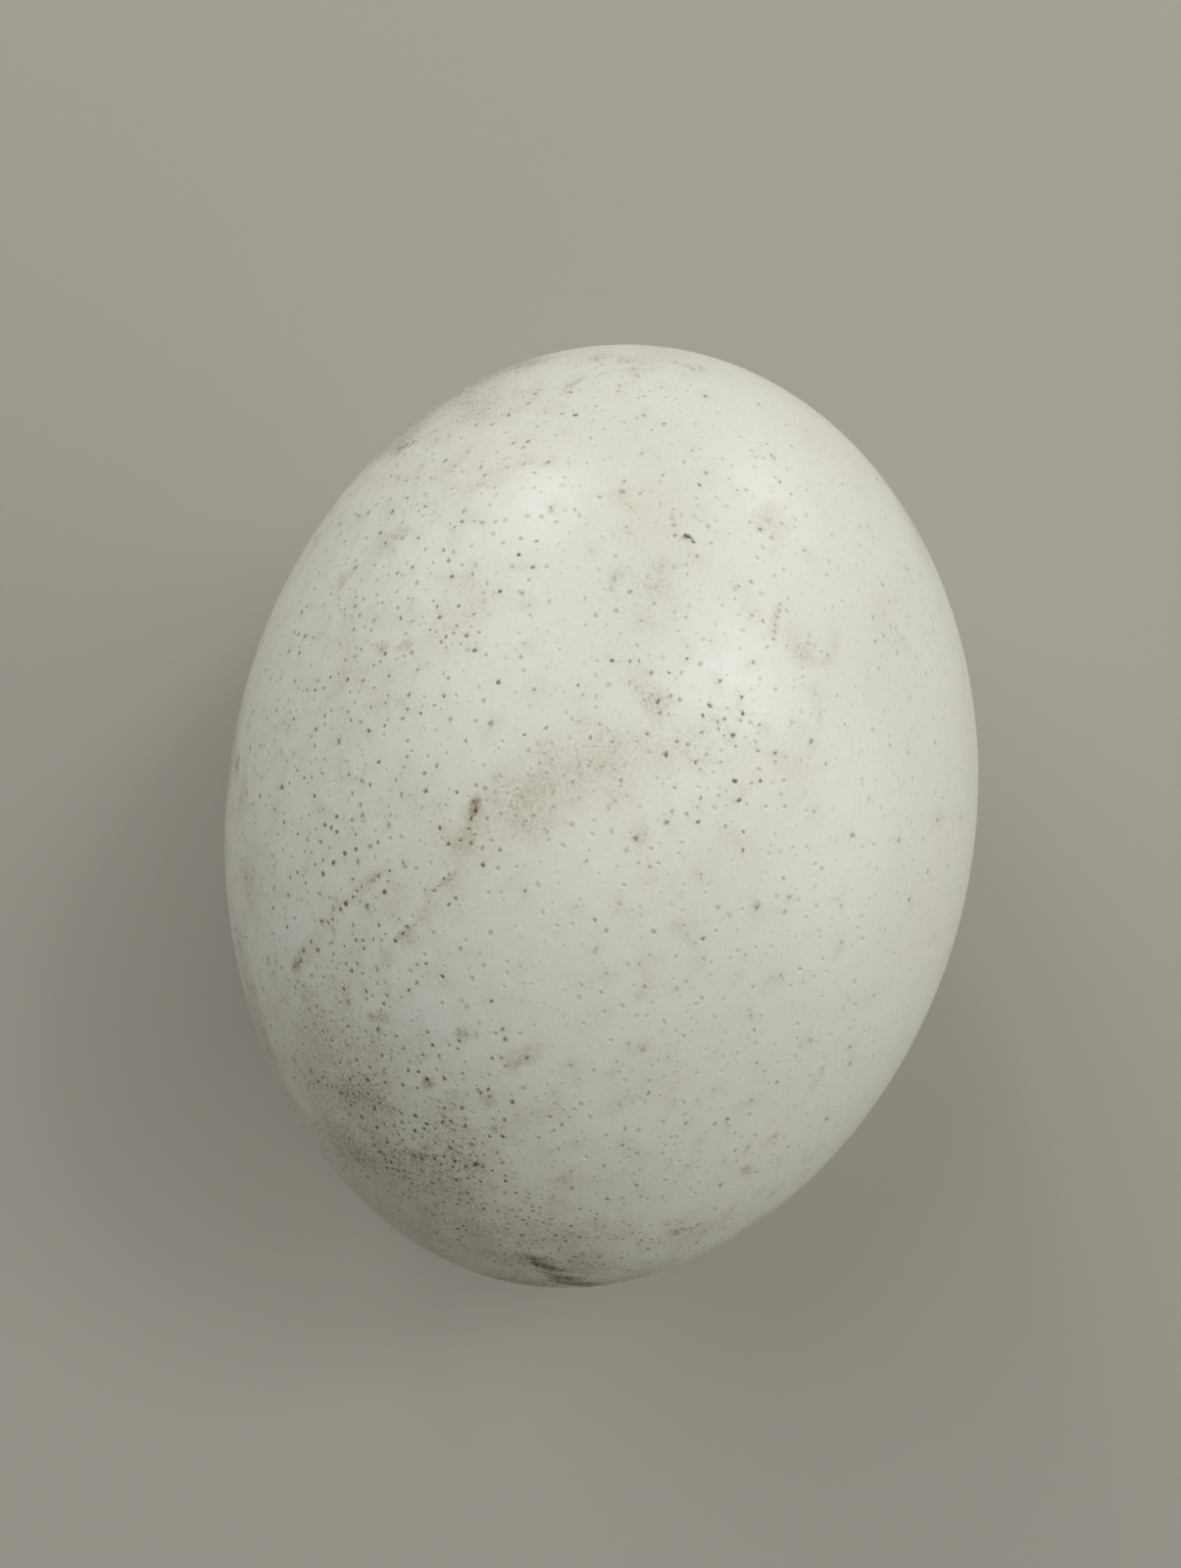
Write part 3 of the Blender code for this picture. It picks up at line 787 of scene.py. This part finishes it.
@dataclass
class SoilMap:
    """Every mark on the shell, and how they add up."""

    form: EggForm
    wander: float = 1.1  # how far the marks' outlines stray
    wander_lengths: tuple[float, ...] = (9.0, 4.3, 2.1)  # of the strays
    wander_waves: tuple[Span, ...] = ((1.7, 0.83), (2.9, 0.71), (0.6, 0.92))  # shift and slant on each axis
    loose_mark: float = 4.5  # marks narrower than this stray less
    wide_mark: float = 12.0  # marks wider than this are films, thinner in some places
    patch_lengths: tuple[float, ...] = (46.0, 23.0, 12.0)
    patchiness: float = 0.75  # of a film, lost where it is thinnest
    patch_edge: float = 0.6  # height of the wave at which it is thinnest, or whole at its negative
    edge: float = 1.5  # where a mark has faded out, in half widths from its middle
    core: float = 0.25  # where it is still whole

    def stray(self, points: np.ndarray) -> np.ndarray:
        """Works out how far outlines wander, by a rule that is smooth over the shell.

        Args:
            points: places in metres.

        Returns:
            The moves that keep wide marks from being ovals, in metres.
        """
        moves = np.zeros_like(points)
        for order, length in enumerate(self.wander_lengths):
            rate = math.tau / (length * MM)
            for axis, (shift, slant) in enumerate(self.wander_waves):
                one, other = points[:, (axis + 1) % 3], points[:, (axis + 2) % 3]
                bend = np.sin(rate * one + shift * order) * np.cos(slant * rate * other)
                moves[:, axis] += bend * (self.wander * MM) / (order + 1)
        return moves

    def thinning(self, points: np.ndarray) -> np.ndarray:
        """Wears wide films thin in some places, by a rule that is smooth over the shell.

        The factors and shifts of the waves only keep them from falling in step.

        Args:
            points: places in metres.

        Returns:
            What is left of a film at each place, 0 to 1.
        """
        total = np.zeros(len(points))
        x, y, z = points.T
        for order, length in enumerate(self.patch_lengths):
            rate = math.tau / (length * MM)
            bent = rate * x + 1.3 * order + 1.6 * np.sin(0.61 * rate * z + order)
            wave = np.cos(0.87 * rate * y + 1.4 * np.sin(0.53 * rate * x - order))
            total += np.sin(bent) * wave * np.cos(0.74 * rate * z + 0.9 * order) / (order + 1)
        return 1.0 - self.patchiness * smooth_step(-self.patch_edge, self.patch_edge, total)

    def amounts(self, points: np.ndarray, soil: Soil) -> np.ndarray:
        """Adds up the marks of one soil.

        Args:
            points: places on the unbowed shell in metres.
            soil: which soil.

        Returns:
            The cover of each place, 0 to 1.
        """
        clear = np.ones(len(points))
        stray = self.stray(points)
        left = self.thinning(points)
        for mark in MARKS:
            if mark.soil is soil:
                slim = min(mark.width, mark.length)
                share = left if slim > self.wide_mark else 1.0
                moved = points + stray * min(1.0, slim / self.loose_mark)
                clear *= 1.0 - mark.strength * cover(self.form, mark, moved, self.edge, self.core) * share
        return 1.0 - clear


def linear(hex_colour: str) -> tuple[float, float, float, float]:
    """Turns an sRGB colour into the linear numbers that shaders take.

    Args:
        hex_colour: six hex digits after a hash sign.

    Returns:
        Red, green, blue and an alpha of 1.
    """
    channels = []
    for start in (1, 3, 5):  # the curve of the sRGB standard
        value = int(hex_colour[start : start + 2], 16) / 255
        channels.append(value / 12.92 if value <= 0.04045 else ((value + 0.055) / 1.055) ** 2.4)
    return (*channels, 1.0)


@dataclass(frozen=True)
class Grain:
    """A random unevenness of the shell's colour or surface."""

    size: float
    detail: float
    roughness: float

    def inputs(self, place: Socket) -> dict[str, Any]:
        """What a noise texture takes in to have this grain at a place."""
        scale = 1.0 / (self.size * MM)
        return {"Vector": place, "Scale": scale, "Detail": self.detail, "Roughness": self.roughness}


@dataclass(frozen=True)
class SoilLook:
    """How one soil dries on the shell."""

    soil: Soil
    colour: str
    crumb: float  # size of the specks and gaps it breaks into
    shares: Span  # of it that lie as an even film and where it is thickest
    spread: float  # how fast the specks close up as there is more of it
    levels: Span  # noise at which a speck begins and at which it is full
    dotting: float  # how much it adds to the loose specks


@dataclass(frozen=True)
class SpeckSize:
    """One size of the loose specks and freckles strewn over the shell."""

    cell: float  # between them
    width: float  # of the largest, as a share of that
    bare: float  # strength on clean shell
    soiled: float  # strength that full dirt adds


@dataclass(frozen=True)
class EggshellFinish:
    """Ostrich eggshell: calcite under a thin cuticle, ivory, with a soft sheen and soiled pores."""

    name: str = "calcite eggshell"
    pale: str = "#E8E9DD"  # the clean shell
    warm: str = "#E6E6D7"  # where the cuticle is thicker
    speck: str = "#5A4628"  # loose dirt, pinpricks and old stains too small to be pores
    pore_dirt: str = "#4A3A20"  # earth packed into a pore
    soils: tuple[SoilLook, ...] = (
        # The whitish look also colours the painted highlight patches; the light-brown and grey-brown looks
        # also colour the painted shade films
        SoilLook(WORN_AND_HIGHLIGHT, "#EAECE3", 2.60, (0.40, 1.00), 0.30, (0.40, 0.66), 0.00),
        SoilLook(TAN, "#A19177", 0.46, (0.22, 0.80), 0.24, (0.48, 0.76), 0.26),
        SoilLook(RUSSET, "#856646", 0.40, (0.24, 1.00), 0.30, (0.50, 0.72), 0.50),
        SoilLook(GRIME_AND_SHADE, "#5E5034", 0.46, (0.16, 0.95), 0.26, (0.52, 0.76), 1.00),
    )
    specks: tuple[SpeckSize, ...] = (
        SpeckSize(0.55, 0.58, 0.05, 1.9),
        SpeckSize(1.0, 0.58, 0.30, 2.6),
        SpeckSize(1.8, 0.42, 0.36, 2.0),
    )
    speck_slimness: float = 0.75  # width of a speck on clean shell, as a share of its width in dirt
    roughness: Span = (0.35, 0.70)  # a satin shine with broad, soft highlights; matt where soiled
    ior: float = 1.52  # calcite with a protein skin
    mottle: Grain = Grain(24.0, 6.0, 0.64)  # the slow drift between pale and warm
    mottle_levels: Span = (0.38, 0.66)
    freckles: Grain = Grain(0.38, 3.0, 0.7)  # the finest unevenness of colour
    freckle_levels: Span = (0.38, 0.72)
    freckling: float = 0.09  # how far it darkens
    crumb_detail: float = 4.0
    crumb_roughness: float = 0.75
    ruffle: Grain = Grain(0.42, 2.0, 0.65)  # the unevenness of every dirty edge
    ruffle_reach: float = 1.1
    ruffle_levels: Span = (0.3, 0.7)
    ruffle_gain: Span = (0.5, 1.5)  # what it makes of a pore's dirt
    pore_levels: Span = (-0.10, 0.95)  # dirt at which a pore begins to show and at which it is full
    pore_shares: Span = (-0.03, 0.86)  # of its colour, at those
    grain: Grain = Grain(0.50, 2.0, 0.6)  # the fine unevenness of the cuticle
    grain_height: float = 0.014
    grain_strength: float = 0.5

    def material(self) -> bpy.types.Material:
        """Builds the shell's material.

        Returns:
            The material, which reads Object coordinates and the shell's attributes.
        """
        made = bpy.data.materials.new(self.name)
        made.use_nodes = True
        made.node_tree.nodes.clear()
        ShellNodes(self, made.node_tree).build()
        return made


@dataclass
class ShellNodes:
    """The nodes of the shell's material, which lay soil, painted shade and painted highlight, specks and
    pores over its clean colour.
    """

    finish: EggshellFinish
    tree: bpy.types.NodeTree

    def add(
        self, kind: str, inputs: Sequence[Any] | Mapping[int | str, Any] = (), **settings: Any
    ) -> bpy.types.Node:
        """Adds one shader node.

        Args:
            kind: the node's type, less the ShaderNode that every type begins with.
            inputs: in order, by number or by name, the output that feeds a socket, or its fixed value.
            settings: the node's properties.

        Returns:
            The node.
        """
        node = self.tree.nodes.new("ShaderNode" + kind)
        for name, value in settings.items():
            setattr(node, name, value)
        for name, value in inputs.items() if isinstance(inputs, Mapping) else enumerate(inputs):
            if isinstance(value, Socket):
                self.tree.links.new(value, node.inputs[name])
            else:
                node.inputs[name].default_value = value
        return node

    def build(self) -> None:
        """Adds all the nodes, from the coordinates to the material's output."""
        look = self.finish
        place = self.add("TexCoord").outputs["Object"]
        ruffle = self.add("TexNoise", look.ruffle.inputs(place)).outputs
        shaken = (ruffle["Color"], [look.ruffle_reach * MM] * 3, place)
        ruffled = self.add("VectorMath", shaken, operation="MULTIPLY_ADD").outputs[0]
        colour = self.clean_shell(place)
        # The soil attributes include painted shade and painted highlight; the painted shade also adds to the
        # dirt that roughens and specks the shell
        dirt: Socket | float = 0.0
        for soil in look.soils:
            amount = self.add("Attribute", attribute_name=soil.soil.value).outputs["Fac"]
            colour = self.with_soil(place, colour, amount, soil)
            more = (amount, soil.dotting, dirt)
            dirt = self.add("Math", more, operation="MULTIPLY_ADD", use_clamp=True).outputs[0]
        for size in look.specks:
            colour = self.with_specks(ruffled, colour, dirt, size)
        colour = self.with_pores(ruffle["Fac"], colour)
        rough = self.add("MapRange", (dirt, *UNIT, *look.roughness)).outputs[0]
        height = self.add("TexNoise", look.grain.inputs(place)).outputs["Fac"]
        relief = {"Height": height, "Strength": look.grain_strength, "Distance": look.grain_height * MM}
        bump = self.add("Bump", relief).outputs["Normal"]
        skin = {"Base Color": colour, "Roughness": rough, "Normal": bump, "IOR": look.ior, "Metallic": 0.0}
        self.add("OutputMaterial", {"Surface": self.add("BsdfPrincipled", skin).outputs["BSDF"]})

    def clean_shell(self, place: Socket) -> Socket:
        """Clean shell, drifting slowly between pale and warm.

        Args:
            place: Object coordinates.

        Returns:
            The colour.
        """
        look = self.finish
        drift = self.add("TexNoise", look.mottle.inputs(place)).outputs["Fac"]
        ramp = self.add("ValToRGB", (drift,))
        for stop, level, tone in zip(ramp.color_ramp.elements, look.mottle_levels, (look.pale, look.warm)):
            stop.position = level
            stop.color = linear(tone)
        freckles = self.add("TexNoise", look.freckles.inputs(place)).outputs["Fac"]
        shown = self.add("MapRange", (freckles, *look.freckle_levels, 0.0, look.freckling)).outputs[0]
        return self.add("Mix", {0: shown, 6: ramp.outputs[0], 7: linear(look.speck)}, **OVER).outputs[2]

    def with_soil(self, place: Socket, under: Socket, amount: Socket, soil: SoilLook) -> Socket:
        """Breaks a soft smudge into the film and patches that dry dirt leaves; painted shade and painted
        highlight marks break up the same way.

        Args:
            place: Object coordinates.
            under: the shell's colour.
            amount: how much soil there is.
            soil: how it dries.

        Returns:
            The colour with the soil.
        """
        crumb = Grain(soil.crumb, self.finish.crumb_detail, self.finish.crumb_roughness)
        crumbs = self.add("TexNoise", crumb.inputs(place)).outputs["Fac"]
        level = self.add("Math", (amount, soil.spread, crumbs), operation="MULTIPLY_ADD").outputs[0]
        patches = self.add("MapRange", (level, *soil.levels, *soil.shares), **EASED).outputs[0]
        shown = self.add("Math", (patches, amount), operation="MULTIPLY").outputs[0]
        return self.add("Mix", {0: shown, 6: under, 7: linear(soil.colour)}, **OVER).outputs[2]

    def with_specks(self, ruffled: Socket, under: Socket, dirt: Socket, size: SpeckSize) -> Socket:
        """Strews specks, one to a random cell, larger and darker where the shell is dirty.

        Args:
            ruffled: Object coordinates, shaken a little so that no speck is round.
            under: the shell's colour.
            dirt: how dirty the shell is, the painted shade films counted in.
            size: the specks' size.

        Returns:
            The colour with specks.
        """
        cells = self.add("TexVoronoi", {"Vector": ruffled, "Scale": 1.0 / (size.cell * MM)}).outputs
        chance = self.add("SeparateColor", {"Color": cells["Color"]}).outputs
        slim = size.width * self.finish.speck_slimness
        vigour = self.add("MapRange", (dirt, *UNIT, size.bare, size.bare + size.soiled)).outputs[0]
        widest = self.add("MapRange", (dirt, *UNIT, slim, size.width)).outputs[0]
        width = self.add("Math", (chance["Red"], widest), operation="MULTIPLY").outputs[0]
        inside = self.add("Math", (width, cells["Distance"]), operation="SUBTRACT").outputs[0]
        spot = self.add("MapRange", (inside, 0.0, slim, *UNIT), **EASED).outputs[0]
        strength = self.add("Math", (chance["Green"], vigour), operation="MULTIPLY").outputs[0]
        shown = self.add("Math", (spot, strength), operation="MULTIPLY").outputs[0]
        return self.add("Mix", {0: shown, 6: under, 7: linear(self.finish.speck)}, **OVER).outputs[2]

    def with_pores(self, ruffle: Socket, under: Socket) -> Socket:
        """Packs dirt into the pores, with a ragged edge.

        Args:
            ruffle: the unevenness of every dirty edge, around a half.
            under: the shell's colour.

        Returns:
            The colour with pores.
        """
        look = self.finish
        pore = self.add("Attribute", attribute_name="pore").outputs["Fac"]
        uneven = self.add("MapRange", (ruffle, *look.ruffle_levels, *look.ruffle_gain)).outputs[0]
        ragged = self.add("Math", (pore, uneven), operation="MULTIPLY").outputs[0]
        shown = self.add("MapRange", (ragged, *look.pore_levels, *look.pore_shares), **EASED).outputs[0]
        return self.add("Mix", {0: shown, 6: under, 7: linear(look.pore_dirt)}, **OVER).outputs[2]


def outer_corner(vert: bmesh.types.BMVert, ring: bmesh.types.BMFace) -> Vector:
    """Finds the corner that an inset corner was drawn in from.

    Args:
        vert: a corner of the inset face.
        ring: that face.

    Returns:
        The place of the corner outside it.
    """
    for edge in vert.link_edges:
        if ring not in edge.link_faces:
            return edge.other_vert(vert).co.copy()
    return vert.co.copy()


def take(mesh: bpy.types.Mesh, name: str) -> np.ndarray:
    """Takes one of the corners' numbers off a mesh.

    Args:
        mesh: the mesh.
        name: the attribute, which the mesh then no longer has.

    Returns:
        The numbers.
    """
    values = np.empty(len(mesh.vertices))
    mesh.attributes[name].data.foreach_get("value", values)
    mesh.attributes.remove(mesh.attributes[name])
    return values


@dataclass
class Eggshell:
    """The shell that dresses the solid egg: its facets, its pores as real pits, and its soil."""

    form: EggForm
    pores: PoreField
    soil: SoilMap
    finish: EggshellFinish
    ring_offset: float = 0.40
    inset_share: float = 0.1  # of that
    lip_share: float = 0.52  # of an open pore's radius, where its floor starts to fall
    lip_sink: float = 0.42  # of its depth, already lost there
    lip_tone: float = 0.58  # of its darkness
    roundness: float = 0.18  # how far a ring strays from its oval, as a share of its radius
    squeeze: float = 0.34  # how much narrower than long the slimmest pore is
    rim_stain: Span = (0.4, 1.0)  # of a pore's stain, left at its rim
    small_mark: float = 3.4  # marks narrower than this get extra corners
    fine_step: float = 0.8  # between those
    fine_reach: Span = (0.6, 0.7)  # how far they reach from a mark's middle, in its lengths and widths
    corner_gap: float = 0.7  # of a step, kept between two of them
    pore_gap: float = 0.8  # of a step, kept from a pore
    lookback: int = 400  # of the last corners, those that a new one is kept clear of
    slack: float = 0.01  # lets the last row and column count
    tip_margin: float = 2.0  # none lies closer to a tip, along the axis
    flat_search: float = 25.0  # degrees from straight down, well outside the resting spot
    halvings: int = 40
    map_margin: float = 0.006  # left empty along the map's edges, as a share of its width
    seed: int = 12

    def build(self) -> bpy.types.Object:
        """Builds and dresses the shell.

        Returns:
            The shell's object, its place in its mesh.
        """
        pores = self.pores.lay_out()
        bm = self.facets(pores)
        self.open_pores(bm, pores)
        sides = [face for face in bm.faces if 3 < len(face.verts) < self.pores.rim_corners]
        bmesh.ops.triangulate(bm, faces=sides)
        bmesh.ops.recalc_face_normals(bm, faces=bm.faces[:])
        for edge in bm.edges:
            edge.smooth = not any(len(face.verts) == self.pores.rim_corners for face in edge.link_faces)
        mesh = bpy.data.meshes.new("eggshell")
        bm.to_mesh(mesh)
        bm.free()
        self.settle(mesh)
        mesh.materials.append(self.finish.material())
        shell = bpy.data.objects.new("eggshell", mesh)
        bpy.context.scene.collection.objects.link(shell)
        LOG.info("eggshell: %d pores, %d faces", len(pores), len(mesh.polygons))
        return shell

    def flat_rim(self) -> list[Vector]:
        """Finds the corners of the resting spot by halving between straight down and well outside it.

        Returns:
            The corners in metres, in the plane of the spot.
        """
        level = self.form.flat_level()
        count = self.pores.rim_corners
        turns = np.arange(count) * math.tau / count
        inside = np.zeros(count)
        outside = np.full(count, math.radians(self.flat_search))
        for _ in range(self.halvings):
            lean = (inside + outside) / 2
            aside = np.sin(lean)
            leaning = np.stack([aside * np.cos(turns), aside * np.sin(turns), -np.cos(lean)], axis=1)
            points = self.form.surface(leaning)
            below = points[:, 2] < level
            inside = np.where(below, lean, inside)
            outside = np.where(below, outside, lean)
        points[:, 2] = level
        return [Vector(point) for point in points]

    def plain_corners(self, tree: kdtree.KDTree) -> list[Vector]:
        """Adds corners without a pore where a mark is too small for the pores to carry its outline.

        Args:
            tree: the pores' middles, which the corners keep clear of.

        Returns:
            The corners in metres.
        """
        corners: list[Vector] = []
        for mark in MARKS:
            if min(mark.width, mark.length) > self.small_mark:
                continue
            halves = (mark.length * self.fine_reach[0], mark.width * self.fine_reach[1])
            rows, columns = (np.arange(-half, half + self.slack, self.fine_step) for half in halves)
            for row, column in product(rows, columns):
                along, around = self.form.within(mark, row, column)
                if abs(along) > self.form.length / 2 - self.tip_margin:
                    continue
                corner = Vector(self.form.at(along, around))
                least = self.fine_step * self.corner_gap * MM
                taken = any((corner - other).length < least for other in corners[-self.lookback :])
                if tree.find(corner)[2] > self.fine_step * self.pore_gap * MM and not taken:
                    corners.append(corner)
        return corners

    def facets(self, pores: list[Pore]) -> bmesh.types.BMesh:
        """Spans the shell through all pores and the rim of the resting spot.

        Args:
            pores: the pores, each of which becomes a corner.

        Returns:
            The closed faceted shell, the resting spot one face of it.
        """
        rim = self.flat_rim()
        level = self.form.flat_level()
        least = self.pores.flat_clearance * MM
        middles = [pore.centre for pore in pores]
        clear = [middle for middle in middles if all((middle - corner).length > least for corner in rim)]
        plain = self.plain_corners(search_tree(middles))
        bm = bmesh.new()
        for corner in rim + clear + plain:
            bm.verts.new(corner)
        LOG.info("extra corners under small marks: %d", len(plain))
        bmesh.ops.convex_hull(bm, input=bm.verts[:])
        foot = [face for face in bm.faces if all(vert.co.z < level + SAME for vert in face.verts)]
        bmesh.ops.dissolve_faces(bm, faces=foot)
        return bm

    def open_pores(self, bm: bmesh.types.BMesh, pores: list[Pore]) -> None:
        """Cuts a ring at each pore, gives open pores an inner lip, and notes how far each corner sinks.

        Args:
            bm: the faceted shell.
            pores: the pores.
        """
        rng = random.Random(self.seed)
        level = self.form.flat_level()
        tree = search_tree([pore.centre for pore in pores])
        corners = [vert for vert in bm.verts if vert.co.z > level + SAME and tree.find(vert.co)[2] < SAME]
        rings = bmesh.ops.bevel(
            bm,
            geom=corners,
            offset=self.ring_offset * MM,
            offset_type="OFFSET",
            segments=1,
            profile=0.5,
            affect="VERTICES",
            clamp_overlap=False,
            material=-1,
        )["faces"]
        sink = bm.verts.layers.float.new("sink")
        tone = bm.verts.layers.float.new("pore")
        stain = bm.verts.layers.float.new("stain")
        mates = {ring: pores[tree.find(ring.calc_center_median())[1]] for ring in rings}
        for ring, pore in mates.items():
            across = pore.centre.cross(any_way(rng, 1.0)).normalized()
            across *= rng.uniform(0.0, self.squeeze)
            for vert in ring.verts:
                spoke = (vert.co - pore.centre).normalized()
                spoke -= across * spoke.dot(across.normalized())
                stray = 1.0 + rng.uniform(-self.roundness, self.roundness)
                vert.co = pore.centre + spoke * pore.radius * stray
                vert[stain] = pore.stain * rng.uniform(*self.rim_stain)
        wide = [ring for ring, pore in mates.items() if pore.is_open]
        bmesh.ops.inset_individual(bm, faces=wide, thickness=self.ring_offset * MM * self.inset_share)
        for ring in wide:
            pore = mates[ring]
            lip = [outer_corner(vert, ring) for vert in ring.verts]
            for vert, corner in zip(ring.verts, lip):
                vert.co = pore.centre.lerp(corner, self.lip_share)
                vert[sink] = pore.depth * self.lip_sink
                vert[tone] = pore.darkness * self.lip_tone
                vert[stain] = pore.stain
        for vert in bmesh.ops.poke(bm, faces=rings)["verts"]:
            pore = pores[tree.find(vert.co)[1]]
            vert.co = pore.centre
            vert[sink] = pore.depth
            vert[tone] = pore.darkness
            vert[stain] = pore.stain
        LOG.info("pores opened: %d, of which wide %d", len(rings), len(wide))

    def settle(self, mesh: bpy.types.Mesh) -> None:
        """Draws every corner onto the true outline, sinks the pores, and notes soil and map.

        Args:
            mesh: the shell's mesh, around the egg's middle.
        """
        flat = np.empty(len(mesh.vertices) * 3)
        mesh.vertices.foreach_get("co", flat)
        points = flat.reshape(-1, 3)
        directions = points / np.linalg.norm(points, axis=1)[:, None]
        outer = self.form.surface(directions)
        placed = self.form.set_down(outer - directions * take(mesh, "sink")[:, None])
        placed[np.abs(placed[:, 2]) < SAME, 2] = 0.0
        mesh.vertices.foreach_set("co", placed.ravel())
        washed = take(mesh, "stain")
        for soil in Soil:
            amount = self.soil.amounts(outer, soil)
            if soil is TAN:
                amount = 1.0 - (1.0 - amount) * (1.0 - washed)
            attribute = mesh.attributes.new(soil.value, "FLOAT", "POINT")
            attribute.data.foreach_set("value", amount)
        mesh.update()
        self.unfold(mesh, directions)

    def unfold(self, mesh: bpy.types.Mesh, directions: np.ndarray) -> None:
        """Gives the shell an even map: the upper half fills a diamond, the lower half its four corners.

        Args:
            mesh: the shell's mesh.
            directions: the direction of each corner from the egg's middle.
        """
        loops = np.empty(len(mesh.loops), dtype=np.int64)
        mesh.loops.foreach_get("vertex_index", loops)
        starts = np.empty(len(mesh.polygons), dtype=np.int64)
        mesh.polygons.foreach_get("loop_start", starts)
        owner = np.repeat(np.arange(len(starts)), np.diff(np.append(starts, len(loops))))
        corner = directions[loops]
        middle = np.add.reduceat(corner, starts, axis=0)
        lowest = np.minimum.reduceat(corner[:, 2], starts)[owner]
        by_face = np.where(middle[owner] >= 0.0, 1.0, -1.0)
        by_corner = np.where(corner >= 0.0, 1.0, -1.0)
        sign = np.where(lowest[:, None] < 0.0, by_face, by_corner)
        share = np.arctan2(corner[:, 1] * sign[:, 1], corner[:, 0] * sign[:, 0]) * 2.0 / math.pi
        reach = np.sqrt(np.maximum(0.0, 1.0 - np.abs(corner[:, 2])))
        up = share * reach
        over = reach - up
        below = corner[:, 2] < 0.0
        u = np.where(below, 1.0 - up, over) * sign[:, 0]
        v = np.where(below, 1.0 - over, up) * sign[:, 1]
        scale = 0.5 - self.map_margin
        uv = np.stack([0.5 + u * scale, 0.5 + v * scale], axis=1)
        mesh.uv_layers.new(name="OFBake").uv.foreach_set("vector", uv.astype(np.float32).ravel())


@dataclass(frozen=True)
class Softbox:
    """One soft light, aimed at the egg. Its lengths are in metres."""

    name: str
    azimuth: float  # degrees from +Y towards +X
    elevation: float
    distance: float  # from the egg's middle
    width: float
    height: float
    power: float  # watts
    colour: str = "#FFFFFF"


@dataclass
class Studio:
    """Plain pale floor, soft light and the camera. Lengths are in metres, save those of the lens."""

    middle_height: float = 0.062
    floor_size: float = 6.0
    floor_colour: str = "#ABA79D"
    floor_roughness: float = 0.9
    floor_specular: float = 0.2
    world_colour: str = "#F4F4EF"
    world_strength: float = 0.045
    boxes: tuple[Softbox, ...] = (
        Softbox("overhead_softbox", 130.0, 82.0, 1.6, 1.0, 1.0, 5.55, "#FFFFF5"),
        Softbox("right_back_softbox", 60.0, 52.0, 1.6, 1.0, 1.0, 7.05, "#FCFBFF"),
        Softbox("left_back_softbox", -60.0, 52.0, 1.6, 1.0, 1.0, 5.75, "#FCFBFF"),
        Softbox("right_low_softbox", 90.0, 20.0, 1.6, 1.0, 1.0, 5.2),
        Softbox("left_low_softbox", -45.0, 20.0, 1.6, 1.0, 1.0, 4.4),
        Softbox("upper_left_panel", -25.0, 29.0, 1.2, 0.18, 0.22, 1.4),
        Softbox("low_right_panel", 26.0, 14.0, 1.2, 0.28, 0.18, 0.90),
        Softbox("right_panel", 55.0, 52.0, 1.2, 0.22, 0.22, 1.3),
    )
    aim: tuple[float, float, float] = (-0.00237, 0.00294, 0.062)
    camera_turn: float = 9.12  # degrees, how far it looks to the left of +Y
    camera_elevation: float = 78.0
    camera_distance: float = 0.20681
    camera_clip: float = 0.01
    lens: float = 27.0  # millimetres, as the next one is
    sensor: float = 36.0

    def build(self) -> None:
        """Sets up the floor, the lights and the camera."""
        self.lay_floor()
        self.light()
        self.place_camera()

    def lay_floor(self) -> None:
        """A plain matt floor with its top at z = 0."""
        bm = bmesh.new()
        bmesh.ops.create_grid(bm, x_segments=1, y_segments=1, size=self.floor_size / 2)
        mesh = bpy.data.meshes.new("floor")
        bm.to_mesh(mesh)
        bm.free()
        made = bpy.data.materials.new("matt floor paint")
        made.use_nodes = True
        shader = made.node_tree.nodes["Principled BSDF"]
        shader.inputs["Base Color"].default_value = linear(self.floor_colour)
        shader.inputs["Roughness"].default_value = self.floor_roughness
        shader.inputs["Specular IOR Level"].default_value = self.floor_specular
        mesh.materials.append(made)
        floor = bpy.data.objects.new("floor", mesh)
        bpy.context.scene.collection.objects.link(floor)

    def light(self) -> None:
        """The soft surroundings and the softboxes."""
        scene = bpy.context.scene
        scene.view_settings.view_transform = "Standard"
        world = bpy.data.worlds.new("soft surroundings")
        world.use_nodes = True
        background = world.node_tree.nodes["Background"]
        background.inputs["Color"].default_value = linear(self.world_colour)
        background.inputs["Strength"].default_value = self.world_strength
        scene.world = world
        target = Vector((0.0, 0.0, self.middle_height))
        for box in self.boxes:
            data = bpy.data.lights.new(box.name, "AREA")
            data.shape = "RECTANGLE"
            data.size = box.width
            data.size_y = box.height
            data.energy = box.power
            data.color = linear(box.colour)[:3]
            lamp = bpy.data.objects.new(box.name, data)
            away = pointing(box.azimuth, box.elevation)
            lamp.location = target + away * box.distance
            lamp.rotation_euler = away.to_track_quat("Z", "Y").to_euler()
            lamp.visible_camera = False
            scene.collection.objects.link(lamp)
            LOG.info("light: %s", box.name)

    def place_camera(self) -> None:
        """A close camera that looks steeply down along the egg, the blunt end away from it."""
        data = bpy.data.cameras.new("camera")
        data.sensor_fit = "VERTICAL"
        data.sensor_height = self.sensor
        data.lens = self.lens
        data.clip_start = self.camera_clip
        camera = bpy.data.objects.new("camera", data)
        forward = pointing(-self.camera_turn, -self.camera_elevation)
        camera.location = Vector(self.aim) - forward * self.camera_distance
        tilt = math.pi / 2 - math.radians(self.camera_elevation)
        camera.rotation_euler = (tilt, 0.0, math.radians(self.camera_turn))
        bpy.context.scene.collection.objects.link(camera)
        bpy.context.scene.camera = camera


def main() -> None:
    """Builds the studio and the shell, and notes the sizes."""
    logging.basicConfig(level=logging.INFO, format="%(message)s")
    Studio().build()
    form = EggForm()
    shell = Eggshell(form, PoreField(form), SoilMap(form), EggshellFinish()).build()
    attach(shell, "root")
    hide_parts("ostrich_egg")


if __name__ == "__main__":
    main()
